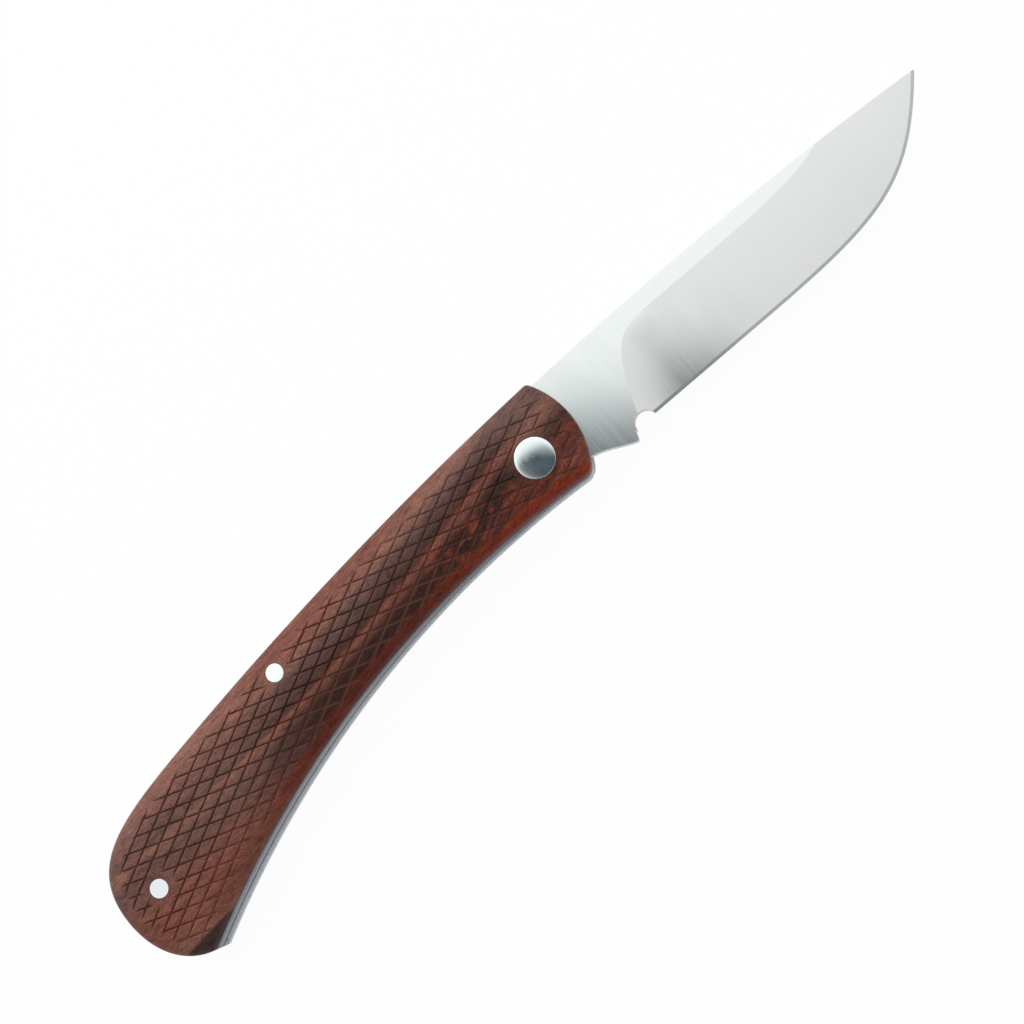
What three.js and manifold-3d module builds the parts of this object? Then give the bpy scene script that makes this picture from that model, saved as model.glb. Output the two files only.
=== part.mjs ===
// A folding pocket knife, held open and shut by a spring along its back.
// Two wooden scales on steel liners carry the blade's pivot and the spring's two pins.
// Millimetres. The pivot axis is Z, X runs from the pivot towards the point of the open blade,
// Y towards the back of the handle, and z = 0 is the flat side that the knife lies on.
import * as THREE from "three";
import { mergeVertices } from "three/addons/utils/BufferGeometryUtils.js";
import Module from "manifold-3d";

// Thicknesses, from the side it lies on upwards
const scaleThickness = 3.8;
const linerThickness = 1.2;
const washerThickness = 0.2;
const bladeStock = 2.6;

// Clearances
const runningGap = 0.02; // faces that slide on each other
const pivotClearance = 0.05; // radial, blade and washers on the pivot
const pinClearance = 0.02; // radial, fixed pins in their holes
const springGap = 0.1; // tang to spring, with the blade open
const flushInset = 0.05; // spring's back below the liners' back
const barrelGap = 0.1; // end of the pivot barrel to the screw's head

// Handle seen from the side: a front arc, a long back arc, the butt and a hollow belly
const frontRadius = 15.7;
const frontCentre = new THREE.Vector2(-6.6, 2.5);
const backRadius = 643;
const backCrest = new THREE.Vector2(31, 11.35);
const buttReach = 102.6; // pivot to the end of the butt
const buttDrop = 14.4; // how far the end of the butt hangs below the pivot
const buttLength = 27.5; // end of the butt to where the back leaves its long arc
const buttShoulder = 18.2; // fullness of the butt's upper turn, along the back
const buttUpperTurn = 11.9;
const buttLowerTurn = 6.65;
const buttHeel = 7.35; // the lower turn comes in this far from the butt's side of its corner
const buttHeelRise = 0.6; // and from this far above it
const buttCornerPlace = new THREE.Vector2(10.8, -27.97); // outer belly corner, X from the butt's end
const bellyCrest = new THREE.Vector2(-8, -7.21); // highest point of the liners' hollow belly
const bellyRadius = 185.1;
const frontCornerRadius = 0.9; // between front arc and back
const chinRadius = 2.2; // between front arc and belly

// The wood stops short of the liners along the belly
const woodBellyCrest = new THREE.Vector2(-9.7, -6.77);
const woodBellyRadius = 181.6;

// Crown of each scale: how far in from the edge the surface reaches each share of its height
const crownEdge = 1.1; // straight wall above the liner
const crownWidth = 6; // from the edge to the flat top
const middleLineEnd = 14.4; // from the end of the butt
const crownLimit = 0.9; // no ring of the crown is drawn in further towards the middle line

// Blade seen from the side
const bladeReach = 89.75; // pivot to point
const spineCrest = new THREE.Vector2(36, 11.08);
const spineRadius = 796;
const edgeDrop = 6.45; // straight edge below the pivot axis
const sweepStart = 45.5; // where the edge starts to sweep up
const sweepRun = 25.1;
const pointRun = 18.5;
const pointAngle = 48.9; // degrees, edge against X at the point
const bevelWidth = 14.5; // height of the ground face above the edge
const bevelLand = 0.36; // thickness behind the fine edge
const fineEdge = 0.55; // width of the fine edge
const pointWidth = 0.16; // the point ends this small
const pointThickness = 0.04;
const fineEdgeShare = 0.45; // of the width, where the blade runs out at the point
const bevelShare = 0.97;
const sweepEnd = 0.995; // share of the sweep that the last section stands at

// Ricasso: the plunge at the end of the ground face, the choil and the kick
const plungeFoot = new THREE.Vector2(17.6, -5);
const plungeHead = new THREE.Vector2(29, 8.2);
const plungePull = new THREE.Vector2(21.2, 4.8);
const plungeEase = 5.75;
const plungeSlope = 2.2; // how far the plunge runs out into the ground face
const plungeFall = 1.1; // and how far it drops
const choilCentre = new THREE.Vector2(17.95, -6.72);
const choilRadius = 2.05;
const kick = new THREE.Vector2(15.05, -8.3);
const kickFace = new THREE.Vector2(15.55, -6.7); // head of the kick's front face, at the choil
const kickRadius = 0.5;
const tangHollowStart = new THREE.Vector2(11.5, -7.4);
const tangHollowEnd = new THREE.Vector2(7.4, -2.8);

// Tang and spring
const closedAngle = 171.5; // degrees, from open to shut
const tangSeat = 6; // pivot to the flats that the spring rests on
const tangCornerRadius = 2;
const stopShoulder = 3.6; // pivot to the shoulder that stops the open blade
const closedSeatEnd = 1.5; // pivot to the front end of the flat that holds the blade shut
const seatLength = 20.6; // straight stretch of the spring behind its front end
const springWaist = new THREE.Vector2(-33, 5);
const springRise = new THREE.Vector2(-43, 2.4);
const bossWall = 0.9; // spring left under the middle pin
const bossFront = -26; // degrees, where the boss leaves the spring's inner edge
const bossBack = -116;
const tailPull = new THREE.Vector2(25.6, -3.8); // X from the butt's end
const tailDrop = new THREE.Vector2(14.3, -15); // the same
const tailEnd = 0.2; // the spring's foot reaches this far past the liners' corner
const tailLift = 0.3; // and stands back this far from their belly

// Pins and pivot
const midPinDiameter = 3.2;
const midPin = new THREE.Vector2(-56.3, 1.1);
const endPinDiameter = 3.3;
const endPinPlace = new THREE.Vector2(8.4, -13.9); // X from the butt's end
const pivotDiameter = 4.8;
const headDiameter = 7;
const headSeat = 1.5; // depth of each head's seat below the flat of the scale
const headRim = 0.08; // straight rim that stands above the wood
const domeRise = 0.3;
const screwShank = 3.1;
const screwLength = 7;
const screwBoreDepth = 7.6;
const spannerSpacing = 4.2; // between the two spanner holes in the screw's head
const spannerDiameter = 1.2;
const spannerDepth = 0.8;
const washerDiameter = 9.4;

// Numbers of steps along each curve
const roundSteps = 40;
const arcSteps = 12;
const longSteps = 20;
const cornerSteps = 4;
const crownSteps = 5;
const domeSteps = 8;
const straightSteps = 4;
const middleSteps = 60;

// Places given from the end of the butt
const fromButt = (place) => new THREE.Vector2(place.x - buttReach, place.y);
const buttCorner = fromButt(buttCornerPlace);
const endPin = fromButt(endPinPlace);

// Heights worked out from the thicknesses
const leftLinerZ = scaleThickness;
const slotZ = leftLinerZ + linerThickness;
const bladeZ = slotZ + washerThickness + runningGap;
const bladeTopZ = bladeZ + bladeStock;
const slotTopZ = bladeTopZ + runningGap + washerThickness;
const rightScaleZ = slotTopZ + linerThickness;
const topZ = rightScaleZ + scaleThickness;
const middleZ = (bladeZ + bladeTopZ) / 2;
const cutLowZ = -1; // cuts start below the knife and end above it
const cutHighZ = topZ + 1;

const wasm = await Module();
wasm.setup();

// Solids

function solid(geometry) {
  const bare = geometry.index ? geometry.toNonIndexed() : geometry.clone();
  bare.deleteAttribute("normal");
  bare.deleteAttribute("uv");
  const merged = mergeVertices(bare, 1e-4);
  const corners = merged.index.array;
  const kept = [];
  for (let i = 0; i < corners.length; i += 3) {
    const [a, b, c] = corners.slice(i, i + 3);
    if (a !== b && b !== c && c !== a) kept.push(a, b, c);
  }
  return new wasm.Manifold(
    new wasm.Mesh({
      numProp: 3,
      vertProperties: merged.attributes.position.array,
      triVerts: new Uint32Array(kept),
    }),
  );
}

function geometryOf(shape) {
  const mesh = shape.getMesh();
  const geometry = new THREE.BufferGeometry();
  geometry.setAttribute("position", new THREE.BufferAttribute(mesh.vertProperties, 3));
  geometry.setIndex(new THREE.BufferAttribute(mesh.triVerts, 1));
  geometry.computeVertexNormals();
  return geometry;
}

// A flat plate: an outline in X and Y, from z0 to z1.
function plate(outline, z0, z1) {
  const geometry = new THREE.ExtrudeGeometry(new THREE.Shape(outline), {
    depth: z1 - z0,
    bevelEnabled: false,
  });
  geometry.translate(0, 0, z0);
  return solid(geometry);
}

function rod(centre, diameter, z0, z1) {
  const geometry = new THREE.CylinderGeometry(diameter / 2, diameter / 2, z1 - z0, roundSteps);
  geometry.rotateX(Math.PI / 2);
  geometry.translate(centre.x, centre.y, (z0 + z1) / 2);
  return solid(geometry);
}

// A turned piece about the pivot axis: points of [radius, height] from the bottom up.
function turned(profile) {
  const points = profile.map(([r, z]) => new THREE.Vector2(r, z));
  const geometry = new THREE.LatheGeometry(points, roundSteps);
  geometry.rotateX(Math.PI / 2);
  return solid(geometry);
}

// A body skinned over rings of as many points each, the ends closed as outlines in X and Y,
// or as fans where the ring stands across X.
function skinned(rings, standing = false) {
  const count = rings[0].length;
  const positions = rings.flat().flatMap((p) => [p.x, p.y, p.z]);
  const index = [];
  for (let r = 0; r + 1 < rings.length; r++) {
    for (let i = 0; i < count; i++) {
      const a = r * count + i;
      const b = r * count + ((i + 1) % count);
      index.push(a, b, b + count, a, b + count, a + count);
    }
  }
  const last = (rings.length - 1) * count;
  const ends = standing
    ? [...Array(count - 2).keys()].map((i) => [0, i + 1, i + 2])
    : THREE.ShapeUtils.triangulateShape(
        rings[0].map((p) => new THREE.Vector2(p.x, p.y)),
        [],
      );
  const lastEnds = standing
    ? ends
    : THREE.ShapeUtils.triangulateShape(
        rings.at(-1).map((p) => new THREE.Vector2(p.x, p.y)),
        [],
      );
  for (const [a, b, c] of ends) index.push(a, c, b);
  for (const [a, b, c] of lastEnds) index.push(last + a, last + b, last + c);
  const geometry = new THREE.BufferGeometry();
  geometry.setAttribute("position", new THREE.Float32BufferAttribute(positions, 3));
  geometry.setIndex(index);
  return solid(geometry);
}

// Curves

const below = (crest, radius) => new THREE.Vector2(crest.x, crest.y - radius);
const heightOn = (centre, radius, x) =>
  centre.y + Math.sqrt(radius * radius - (x - centre.x) * (x - centre.x));

// The crossing of two circles that lies to the left of the way from the first centre to the second.
function crossing(c1, r1, c2, r2) {
  const way = c2.clone().sub(c1);
  const gap = way.length();
  const along = (gap * gap + r1 * r1 - r2 * r2) / (2 * gap);
  const off = Math.sqrt(Math.max(0, r1 * r1 - along * along));
  way.divideScalar(gap);
  return c1
    .clone()
    .addScaledVector(way, along)
    .addScaledVector(new THREE.Vector2(-way.y, way.x), off);
}

const angleAt = (centre, p) => Math.atan2(p.y - centre.y, p.x - centre.x);

function arc(centre, from, to, steps, clockwise = false) {
  const radius = centre.distanceTo(from);
  const curve = new THREE.EllipseCurve(
    centre.x,
    centre.y,
    radius,
    radius,
    angleAt(centre, from),
    angleAt(centre, to),
    clockwise,
  );
  return curve.getPoints(steps);
}

const bezier = (a, b, c, d, steps) => new THREE.CubicBezierCurve(a, b, c, d).getSpacedPoints(steps);

// Rounds the corner at b between straight lines from a and to c.
function rounded(a, b, c, radius, steps) {
  const toA = a.clone().sub(b).normalize();
  const toC = c.clone().sub(b).normalize();
  const half = Math.acos(toA.dot(toC)) / 2;
  const reach = radius / Math.tan(half);
  const start = b.clone().addScaledVector(toA, reach);
  const end = b.clone().addScaledVector(toC, reach);
  const middle = toA.add(toC).normalize();
  const centre = b.clone().addScaledVector(middle, radius / Math.sin(half));
  const turn = start.clone().sub(centre).cross(end.clone().sub(centre));
  return arc(centre, start, end, steps, turn < 0);
}

// Joins stretches of points into one outline, without doubled points.
function joined(...stretches) {
  const points = [];
  for (const p of stretches.flat()) {
    if (!points.length || points.at(-1).distanceTo(p) > 1e-3) points.push(p);
  }
  if (points[0].distanceTo(points.at(-1)) < 1e-3) points.pop();
  return points;
}

// Handle outline

const backCentre = below(backCrest, backRadius);
const bellyCentre = below(bellyCrest, bellyRadius);
const woodBellyCentre = below(woodBellyCrest, woodBellyRadius);
const backAt = (x) => new THREE.Vector2(x, heightOn(backCentre, backRadius, x));

function buttCurves() {
  const start = backAt(buttLength - buttReach);
  const along = start.clone().sub(backCentre).normalize();
  const shoulder = start
    .clone()
    .add(new THREE.Vector2(-along.y, along.x).multiplyScalar(buttShoulder));
  const end = new THREE.Vector2(-buttReach, -buttDrop);
  const upper = new THREE.Vector2(end.x, end.y + buttUpperTurn);
  const lower = new THREE.Vector2(end.x, end.y - buttLowerTurn);
  const heel = buttCorner.clone().add(new THREE.Vector2(-buttHeel, buttHeelRise));
  return [
    new THREE.CubicBezierCurve(start, shoulder, upper, end),
    new THREE.CubicBezierCurve(end, lower, heel, buttCorner),
  ];
}

// The handle's outline with its belly on the given circle, from the chin round by the back.
function handleOutline(belly, radius) {
  const chin = crossing(
    frontCentre,
    frontRadius - chinRadius,
    belly,
    radius + chinRadius,
  );
  const front = crossing(
    frontCentre,
    frontRadius - frontCornerRadius,
    backCentre,
    backRadius - frontCornerRadius,
  );
  const on = (centre, through, reach) =>
    centre.clone().add(through.clone().sub(centre).setLength(reach));
  const chinLow = on(belly, chin, radius);
  const chinFront = on(frontCentre, chin, frontRadius);
  const frontLow = on(frontCentre, front, frontRadius);
  const frontBack = on(backCentre, front, backRadius);
  const [upperButt, lowerButt] = buttCurves();
  const heel = heelPoints(lowerButt, belly, radius);
  return joined(
    arc(chin, chinLow, chinFront, cornerSteps),
    arc(frontCentre, chinFront, frontLow, arcSteps),
    arc(front, frontLow, frontBack, cornerSteps),
    arc(backCentre, frontBack, upperButt.getPoint(0), longSteps),
    upperButt.getSpacedPoints(longSteps),
    heel,
    arc(belly, heel.at(-1), chinLow, longSteps, true),
  );
}

// The lower turn of the butt, as far as the belly's circle.
function heelPoints(curve, belly, radius) {
  const fine = curve.getSpacedPoints(longSteps * longSteps);
  const end = fine.findLastIndex((p) => p.distanceTo(belly) > radius);
  return [...Array(longSteps + 1).keys()].map((i) => fine[Math.round((end * i) / longSteps)]);
}

const linerOutline = handleOutline(bellyCentre, bellyRadius);
const woodOutline = handleOutline(woodBellyCentre, woodBellyRadius);

// Crowned wood: rings of the outline drawn in towards the handle's middle line

const midline = [];
for (let i = 0; i <= middleSteps; i++) {
  const x = (middleLineEnd - buttReach) * (i / middleSteps);
  midline.push(
    new THREE.Vector2(x, (backAt(x).y + heightOn(woodBellyCentre, woodBellyRadius, x)) / 2),
  );
}

function nearestOnMidline(p) {
  let best = midline[0];
  for (let i = 0; i + 1 < midline.length; i++) {
    const way = midline[i + 1].clone().sub(midline[i]);
    const t = THREE.MathUtils.clamp(p.clone().sub(midline[i]).dot(way) / way.lengthSq(), 0, 1);
    const foot = midline[i].clone().addScaledVector(way, t);
    if (p.distanceTo(foot) < p.distanceTo(best)) best = foot;
  }
  return best;
}

const woodFeet = woodOutline.map(nearestOnMidline);

function woodRing(inset, z) {
  return woodOutline.map((p, i) => {
    const share = Math.min(inset / p.distanceTo(woodFeet[i]), crownLimit);
    const q = p.clone().lerp(woodFeet[i], share);
    return new THREE.Vector3(q.x, q.y, z);
  });
}

// Inset and height above the liner at each step of the crown, a quarter of an oval.
const crown = [];
for (let i = 0; i <= crownSteps; i++) {
  const turn = (Math.PI / 2) * (i / crownSteps);
  crown.push([
    crownWidth * (1 - Math.cos(turn)),
    crownEdge + (scaleThickness - crownEdge) * Math.sin(turn),
  ]);
}

const handleForm = skinned([
  ...crown.toReversed().map(([inset, rise]) => woodRing(inset, leftLinerZ - rise)),
  ...crown.map(([inset, rise]) => woodRing(inset, rightScaleZ + rise)),
]);

const pivot = new THREE.Vector2(0, 0);
const pinHoles = (z0, z1) =>
  rod(midPin, midPinDiameter + 2 * pinClearance, z0, z1).add(
    rod(endPin, endPinDiameter + 2 * pinClearance, z0, z1),
  );
const barrelHole = (z0, z1) => rod(pivot, pivotDiameter + 2 * pinClearance, z0, z1);
const headHole = (z0, z1) => rod(pivot, headDiameter + 2 * pinClearance, z0, z1);

function scale(z0, z1, seatZ0, seatZ1) {
  const slab = plate(linerOutline, z0, z1);
  return handleForm
    .intersect(slab)
    .subtract(pinHoles(cutLowZ, cutHighZ))
    .subtract(barrelHole(cutLowZ, cutHighZ))
    .subtract(headHole(seatZ0, seatZ1));
}

const leftScale = scale(0, leftLinerZ, cutLowZ, headSeat);
const rightScale = scale(rightScaleZ, topZ, topZ - headSeat, cutHighZ);

function liner(z0, z1) {
  return plate(linerOutline, z0, z1)
    .subtract(pinHoles(cutLowZ, cutHighZ))
    .subtract(barrelHole(cutLowZ, cutHighZ));
}

const leftLiner = liner(leftLinerZ, slotZ);
const rightLiner = liner(slotTopZ, rightScaleZ);

// Pins: rods cut flush with the crowned wood

const pin = (centre, diameter) => rod(centre, diameter, cutLowZ, cutHighZ).intersect(handleForm);

// Pivot: a headed barrel from the right and a flat screw from the left

const headR = headDiameter / 2;
const shaftR = pivotDiameter / 2;
const boreR = screwShank / 2 + pinClearance;
const domeRadius = (headR * headR + domeRise * domeRise) / (2 * domeRise);
const rimZ = topZ + headRim;
const dome = [];
for (let i = 0; i <= domeSteps; i++) {
  const r = headR * (1 - i / domeSteps);
  const height = Math.sqrt(domeRadius * domeRadius - r * r) - (domeRadius - domeRise);
  dome.push([r, rimZ + height]);
}
const pivotBarrel = turned([
  [0, headSeat + screwBoreDepth],
  [boreR, headSeat + screwBoreDepth],
  [boreR, headSeat + barrelGap],
  [shaftR, headSeat + barrelGap],
  [shaftR, topZ - headSeat],
  [headR, topZ - headSeat],
  ...dome,
]);

const spannerHole = (side) =>
  rod(new THREE.Vector2((side * spannerSpacing) / 2, 0), spannerDiameter, cutLowZ, spannerDepth);
const pivotScrew = turned([
  [0, 0],
  [headR, 0],
  [headR, headSeat],
  [screwShank / 2, headSeat],
  [screwShank / 2, screwLength],
  [0, screwLength],
])
  .subtract(spannerHole(-1))
  .subtract(spannerHole(1));

function washer(z0) {
  return rod(pivot, washerDiameter, z0, z0 + washerThickness).subtract(
    rod(pivot, pivotDiameter + 2 * pivotClearance, cutLowZ, cutHighZ),
  );
}

// Blade: the ground part is skinned over sections that stand square to the edge

const spineCentre = below(spineCrest, spineRadius);
const spineAt = (x) => new THREE.Vector2(x, heightOn(spineCentre, spineRadius, x));
const point = spineAt(bladeReach);
const halfStock = bladeStock / 2;
const tilt = THREE.MathUtils.degToRad(pointAngle);
const edgeSweep = new THREE.CubicBezierCurve(
  new THREE.Vector2(sweepStart, -edgeDrop),
  new THREE.Vector2(sweepStart + sweepRun, -edgeDrop),
  point.clone().sub(new THREE.Vector2(Math.cos(tilt), Math.sin(tilt)).multiplyScalar(pointRun)),
  point,
);

// Half the blade's thickness at a distance from the edge.
function halfThickness(d) {
  if (d < fineEdge) return (bevelLand / 2) * (d / fineEdge);
  const rise = (halfStock - bevelLand / 2) / (bevelWidth - fineEdge);
  return Math.min(halfStock, bevelLand / 2 + (d - fineEdge) * rise);
}

// One section from the edge at p, along the inward normal n, up to the spine.
function bladeSection(p, n) {
  const offset = p.clone().sub(spineCentre);
  const along = offset.dot(n);
  const depth = -along + Math.sqrt(along * along - offset.lengthSq() + spineRadius * spineRadius);
  const length = Math.max(depth, pointWidth);
  const stops = [
    Math.min(fineEdge, length * fineEdgeShare),
    Math.min(bevelWidth, length * bevelShare),
    length,
  ];
  const at = (d, side) => {
    const q = p.clone().addScaledVector(n, d);
    const half = Math.max(halfThickness(d), pointThickness / 2);
    return new THREE.Vector3(q.x, q.y, middleZ + side * half);
  };
  return [
    new THREE.Vector3(p.x, p.y, middleZ),
    ...stops.map((d) => at(d, -1)),
    ...stops.toReversed().map((d) => at(d, 1)),
  ];
}

const sections = [];
const up = new THREE.Vector2(0, 1);
for (let i = 0; i < straightSteps; i++) {
  const x = choilCentre.x + (sweepStart - choilCentre.x) * (i / straightSteps);
  sections.push(bladeSection(new THREE.Vector2(x, -edgeDrop), up));
}
for (let i = 0; i <= longSteps; i++) {
  const t = (i / longSteps) * sweepEnd;
  const tangent = edgeSweep.getTangentAt(t);
  const n = new THREE.Vector2(-tangent.y, tangent.x);
  sections.push(bladeSection(edgeSweep.getPointAt(t), n));
}
const groundBlade = skinned(sections, true);

// Tang: full stock, with the plunge sloping down into the ground face

const closed = THREE.MathUtils.degToRad(closedAngle);
const seatNormal = new THREE.Vector2(-Math.sin(closed), Math.cos(closed));
const seatPoint = (x) =>
  new THREE.Vector2(x, (tangSeat - springGap - seatNormal.x * x) / seatNormal.y);
const rear = -tangSeat;
const shoulderTop = spineAt(stopShoulder);
const seatEnd = seatPoint(closedSeatEnd);

function tangOutline(slope, fall) {
  const shift = new THREE.Vector2(slope, -fall);
  const plunge = bezier(
    plungeFoot.clone().add(shift),
    plungePull.clone().add(shift),
    plungeHead.clone().sub(new THREE.Vector2(plungeEase, 0)).add(shift),
    plungeHead.clone().add(shift),
    arcSteps,
  );
  const crest = spineAt(plungeHead.x + slope);
  const rearTop = new THREE.Vector2(rear, tangSeat - springGap);
  const rearLow = seatPoint(rear);
  const seatFront = new THREE.Vector2(stopShoulder, tangSeat - springGap);
  return [
    ...plunge,
    crest,
    ...arc(spineCentre, crest, shoulderTop, arcSteps).slice(1),
    seatFront,
    ...rounded(seatFront, rearTop, rearLow, tangCornerRadius, cornerSteps),
    ...rounded(rearTop, rearLow, seatEnd, tangCornerRadius, cornerSteps),
    ...bezier(seatEnd, tangHollowEnd, tangHollowStart, kick, arcSteps).slice(0, -1),
    ...rounded(tangHollowStart, kick, kickFace, kickRadius, cornerSteps),
    kickFace,
    new THREE.Vector2(choilCentre.x - choilRadius / 2, choilCentre.y),
  ];
}

const tangFace = tangOutline(0, 0);
const tangCore = tangOutline(plungeSlope, plungeFall);
const tangRing = (outline, z) => outline.map((p) => new THREE.Vector3(p.x, p.y, z));
const tang = skinned([
  tangRing(tangFace, bladeZ),
  tangRing(tangCore, middleZ - bevelLand / 2),
  tangRing(tangCore, middleZ + bevelLand / 2),
  tangRing(tangFace, bladeTopZ),
]);

const blade = groundBlade
  .add(tang)
  .subtract(rod(choilCentre, 2 * choilRadius, cutLowZ, cutHighZ))
  .subtract(rod(pivot, pivotDiameter + 2 * pivotClearance, cutLowZ, cutHighZ));

// Spring: fills the slot along the back and round the butt, with a boss at the middle pin

function springOutline() {
  const front = stopShoulder - springGap;
  const [upperButt, lowerButt] = buttCurves();
  const inward = (points) =>
    points.map((p) => {
      const foot = nearestOnMidline(p);
      return p.clone().lerp(foot, flushInset / p.distanceTo(foot));
    });
  const backStart = backAt(front);
  const heel = heelPoints(lowerButt, bellyCentre, bellyRadius);
  const footX = heel.at(-1).x + tailEnd;
  const foot = new THREE.Vector2(footX, heightOn(bellyCentre, bellyRadius, footX) + tailLift);
  const onBoss = (degrees) =>
    new THREE.Vector2(midPinDiameter / 2 + bossWall, 0)
      .rotateAround(new THREE.Vector2(), THREE.MathUtils.degToRad(degrees))
      .add(midPin);
  const seatBack = new THREE.Vector2(front - seatLength, tangSeat);
  return joined(
    [new THREE.Vector2(front, tangSeat)],
    inward(arc(backCentre, backStart, upperButt.getPoint(0), longSteps)),
    inward(upperButt.getSpacedPoints(longSteps)),
    inward(heel.slice(0, -1)),
    [foot],
    bezier(foot, fromButt(tailDrop), fromButt(tailPull), onBoss(bossBack), longSteps),
    arc(midPin, onBoss(bossBack), onBoss(bossFront), cornerSteps),
    bezier(onBoss(bossFront), springRise, springWaist, seatBack, arcSteps),
  );
}

const backspring = plate(springOutline(), slotZ + runningGap, slotTopZ - runningGap).subtract(
  pinHoles(cutLowZ, cutHighZ),
);

// The knife

const knife = new THREE.Group();

function place(name, shape, color, roughness, metalness) {
  const material = new THREE.MeshStandardMaterial({ color, roughness, metalness });
  const mesh = new THREE.Mesh(geometryOf(shape), material);
  mesh.name = name;
  knife.add(mesh);
}

place("blade", blade, 0xc9cdcc, 0.32, 1);
place("backspring", backspring, 0xb9bfc2, 0.35, 1);
place("left_liner", leftLiner, 0xb4babd, 0.38, 1);
place("right_liner", rightLiner, 0xb4babd, 0.38, 1);
place("left_scale", leftScale, 0x6a3328, 0.55, 0);
place("right_scale", rightScale, 0x6a3328, 0.55, 0);
place("pivot_barrel", pivotBarrel, 0xd5dadb, 0.12, 1);
place("pivot_screw", pivotScrew, 0xd5dadb, 0.2, 1);
place("left_washer", washer(slotZ), 0xb98a55, 0.3, 1);
place("right_washer", washer(slotTopZ - washerThickness), 0xb98a55, 0.3, 1);
place("mid_pin", pin(midPin, midPinDiameter), 0xe4e8e8, 0.25, 1);
place("end_pin", pin(endPin, endPinDiameter), 0xe4e8e8, 0.25, 1);

export default knife;
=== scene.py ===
# A folding pocket knife, open on a white table: satin steel blade, checkered wooden scales.
# Millimetres until each mesh is made. The pivot axis is Z, X runs towards the point of the
# open blade, Y towards the back of the handle, and z = 0 is the side the knife lies on.
import math

import bpy
import numpy as np
from mathutils import Matrix, Vector
from mathutils.geometry import delaunay_2d_cdt


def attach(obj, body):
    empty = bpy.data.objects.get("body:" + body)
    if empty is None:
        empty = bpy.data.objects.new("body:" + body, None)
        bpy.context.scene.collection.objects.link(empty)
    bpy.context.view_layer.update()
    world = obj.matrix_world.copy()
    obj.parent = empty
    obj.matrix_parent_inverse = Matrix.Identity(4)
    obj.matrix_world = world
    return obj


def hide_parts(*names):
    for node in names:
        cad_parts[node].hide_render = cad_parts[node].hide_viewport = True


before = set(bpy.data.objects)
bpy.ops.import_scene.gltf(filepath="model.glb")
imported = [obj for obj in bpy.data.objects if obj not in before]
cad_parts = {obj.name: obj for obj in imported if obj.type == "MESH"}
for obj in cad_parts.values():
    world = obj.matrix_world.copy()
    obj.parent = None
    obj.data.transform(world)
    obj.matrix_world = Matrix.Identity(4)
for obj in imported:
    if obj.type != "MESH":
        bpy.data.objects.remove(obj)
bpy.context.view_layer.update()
scene = bpy.context.scene
scene.view_settings.view_transform = "Standard"


# Table, light and camera
# A white table in a room that is bright towards the knife's back, with a wide soft lamp there
# and a black net held above the pivot. The camera looks down from the belly side.

mm = 0.001
camera_place = Vector((12.6, -58.2, 371.4)) * mm
looks_at = Vector((-9.03, -3.37, 6.5)) * mm
picture_turn = math.radians(40)  # from +Y towards +X, what points up in the picture
camera_lens = 77.34


def facing(place, target, up_hint):
    back = (place - target).normalized()
    right = up_hint.cross(back).normalized()
    turn = Matrix((right, back.cross(right), back)).transposed()
    return Matrix.Translation(place) @ turn.to_4x4()


camera = bpy.data.objects.new("camera", bpy.data.cameras.new("camera"))
camera.data.lens = camera_lens
picture_up = Vector((math.sin(picture_turn), math.cos(picture_turn), 0))
camera.matrix_world = facing(camera_place, looks_at, picture_up)
scene.collection.objects.link(camera)
scene.camera = camera


def colour(hex_code):
    """sRGB hex to the linear red, green, blue and alpha that shaders take."""
    shares = [int(hex_code[i : i + 2], 16) / 255 for i in (1, 3, 5)]
    return [s / 12.92 if s <= 0.04045 else ((s + 0.055) / 1.055) ** 2.4 for s in shares] + [1]


def add_node(tree, kind, inputs={}, stops=(), **settings):
    """A node with its links and settings, and a colour ramp's stops. An input is a value, an
    output, or a node that gives its first output."""
    node = tree.nodes.new("ShaderNode" + kind)
    for name, value in settings.items():
        setattr(node, name, value)
    for name, value in inputs.items():
        if isinstance(value, bpy.types.Node):
            value = next(output for output in value.outputs if output.enabled)
        if isinstance(value, bpy.types.NodeSocket):
            tree.links.new(value, node.inputs[name])
        else:
            node.inputs[name].default_value = value
    while stops and len(node.color_ramp.elements) < len(stops):
        node.color_ramp.elements.new(0.5)
    for number, (where, hex_code) in enumerate(stops):
        node.color_ramp.elements[number].position = where
        node.color_ramp.elements[number].color = colour(hex_code)
    return node


def bare_tree(material):
    """The material's own nodes, with none in it yet."""
    material.use_nodes = True
    material.node_tree.nodes.clear()
    return material.node_tree


def mesh_object(name, points, faces):
    mesh = bpy.data.meshes.new(name)
    mesh.from_pydata((np.asarray(points, float) * mm).tolist(), [], faces)
    thing = bpy.data.objects.new(name, mesh)
    scene.collection.objects.link(thing)
    return thing


# White painted board: the camera sees nearly plain white, with a small share of real shading that
# keeps the knife's own soft shadow, and steel mirrors more of that shading
plain_share = 0.96
mirrored_share = 0.35
table_white = bpy.data.materials.new("white painted board")
tree = bare_tree(table_white)
path = add_node(tree, "LightPath")
mirrored = add_node(tree, "Math", {0: path.outputs["Is Glossy Ray"], 1: mirrored_share}, operation="MULTIPLY")
seen = add_node(tree, "Math", {0: path.outputs["Is Camera Ray"], 1: mirrored}, operation="MAXIMUM")
seen = add_node(tree, "Math", {0: seen, 1: path.outputs["Is Transmission Ray"]}, operation="MAXIMUM")
glow_share = add_node(tree, "Math", {0: seen, 1: plain_share}, operation="MULTIPLY")
paint = add_node(tree, "BsdfDiffuse", {"Color": colour("#f7f7f7")})
glow = add_node(tree, "Emission", {"Color": colour("#ffffff"), "Strength": 1.0})
board = add_node(tree, "MixShader", {0: glow_share, 1: paint, 2: glow})
add_node(tree, "OutputMaterial", {"Surface": board})

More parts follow.
